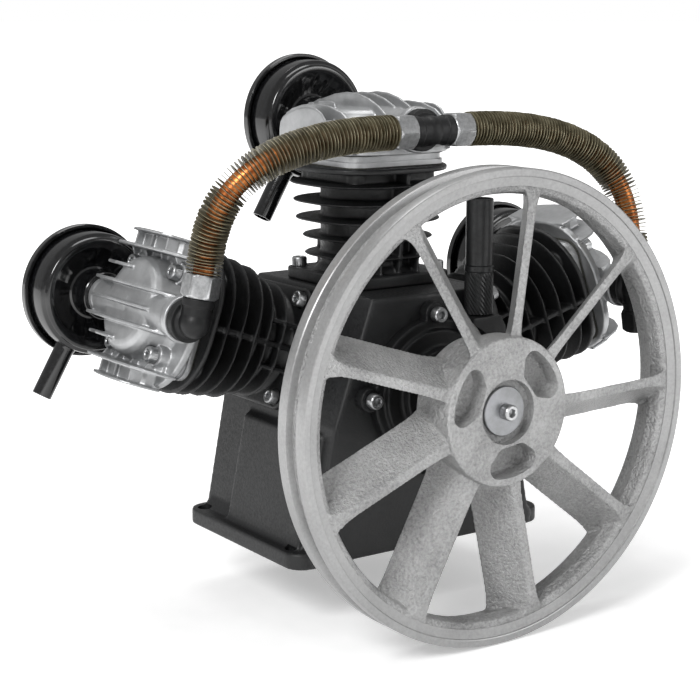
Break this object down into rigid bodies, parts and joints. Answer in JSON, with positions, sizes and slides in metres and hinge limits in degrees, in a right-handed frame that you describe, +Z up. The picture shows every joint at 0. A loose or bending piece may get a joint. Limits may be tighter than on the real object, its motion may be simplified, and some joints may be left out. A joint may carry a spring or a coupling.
{
  "type": "air compressor pump head",
  "caption": "Belt-driven piston air compressor pump head with finned cylinders in a fan layout, a spoked flywheel, air filters and finned copper pipes.",
  "frame": {"origin": "on the underside of the base flange, under the axis of the vertical cylinder", "axes": "+X to the right cylinder, +Y along the crank away from the flywheel, +Z up"},
  "size_m": [0.5137, 0.346, 0.459],
  "materials": {
    "housing_black": "satin black paint on cast iron",
    "gasket": "compressed fibre gasket",
    "zinc_steel": "zinc plated steel",
    "bearing_steel": "ground steel",
    "forged_steel": "machined forged steel",
    "seal_rubber": "nitrile rubber",
    "brass": "bright brass",
    "black_steel": "satin black steel",
    "flywheel_silver": "silver paint on cast iron, machined rim edge",
    "head_alloy": "as-cast aluminium",
    "filter_black": "gloss black pressed steel",
    "filter_felt": "felt element",
    "copper": "finned copper tube"
  },
  "bodies": {
    "housing": {"crankcase": "housing_black", "front_cover": "housing_black", "rear_cover": "housing_black", "cover_gaskets": "gasket", "cover_screws": "zinc_steel", "front_bearing": "bearing_steel", "rear_bearing": "bearing_steel", "shaft_seal": "seal_rubber", "sight_glass": "brass", "drain_plug": "zinc_steel", "breather_body": "black_steel", "breather_tube": "black_steel", "cylinder_left": "housing_black", "cylinder_center": "housing_black", "cylinder_right": "housing_black", "cylinder_gaskets": "gasket", "cylinder_screws": "zinc_steel", "valve_plate_left": "head_alloy", "valve_plate_center": "head_alloy", "valve_plate_right": "head_alloy", "head_gaskets": "gasket", "head_left": "head_alloy", "head_center": "head_alloy", "head_right": "head_alloy", "head_screws": "zinc_steel", "filter_body_left": "filter_black", "filter_body_center": "filter_black", "filter_body_right": "filter_black", "filter_cover_left": "filter_black", "filter_cover_center": "filter_black", "filter_cover_right": "filter_black", "filter_elements": "filter_felt", "elbow_left": "black_steel", "tee_center": "black_steel", "tee_right": "black_steel", "pipe_nuts": "zinc_steel", "pipe_left": "copper", "pipe_right": "copper"},
    "crank": {"crankshaft": "forged_steel", "rod_big_ends": "forged_steel", "flywheel": "flywheel_silver", "flywheel_key": "bearing_steel", "flywheel_washer": "zinc_steel", "flywheel_bolt": "zinc_steel"},
    "piston_left_body": {"piston_left": "head_alloy", "rings_left": "bearing_steel", "wrist_pin_left": "bearing_steel"},
    "rod_left_body": {"rod_left": "forged_steel"},
    "piston_center_body": {"piston_center": "head_alloy", "rings_center": "bearing_steel", "wrist_pin_center": "bearing_steel"},
    "rod_center_body": {"rod_center": "forged_steel"},
    "piston_right_body": {"piston_right": "head_alloy", "rings_right": "bearing_steel", "wrist_pin_right": "bearing_steel"},
    "rod_right_body": {"rod_right": "forged_steel"}
  },
  "joints": [
    {"name": "crank_turn", "type": "hinge", "parent": "housing", "child": "crank", "pos_m": [0, 0, 0.1364], "axis": [0, 1, 0], "continuous": true},
    {"name": "piston_left_slide", "type": "slide", "parent": "housing", "child": "piston_left_body", "axis": [-0.9426, 0, 0.3338], "range_m": [-0.02881, 0.01719]},
    {"name": "rod_left_swing", "type": "hinge", "parent": "piston_left_body", "child": "rod_left_body", "pos_m": [-0.12472, 0.034, 0.18057], "axis": [0, 1, 0], "range_deg": [-0.61, 20.34]},
    {"name": "piston_center_slide", "type": "slide", "parent": "housing", "child": "piston_center_body", "axis": [0, 0, 1], "range_m": [-0.046, 0]},
    {"name": "rod_center_swing", "type": "hinge", "parent": "piston_center_body", "child": "rod_center_body", "pos_m": [0, 0, 0.2859], "axis": [0, 1, 0], "range_deg": [-10.48, 10.48]},
    {"name": "piston_right_slide", "type": "slide", "parent": "housing", "child": "piston_right_body", "axis": [0.9426, 0, 0.3338], "range_m": [-0.02881, 0.01719]},
    {"name": "rod_right_swing", "type": "hinge", "parent": "piston_right_body", "child": "rod_right_body", "pos_m": [0.12472, -0.034, 0.18057], "axis": [0, 1, 0], "range_deg": [-20.34, 0.61]}
  ]
}
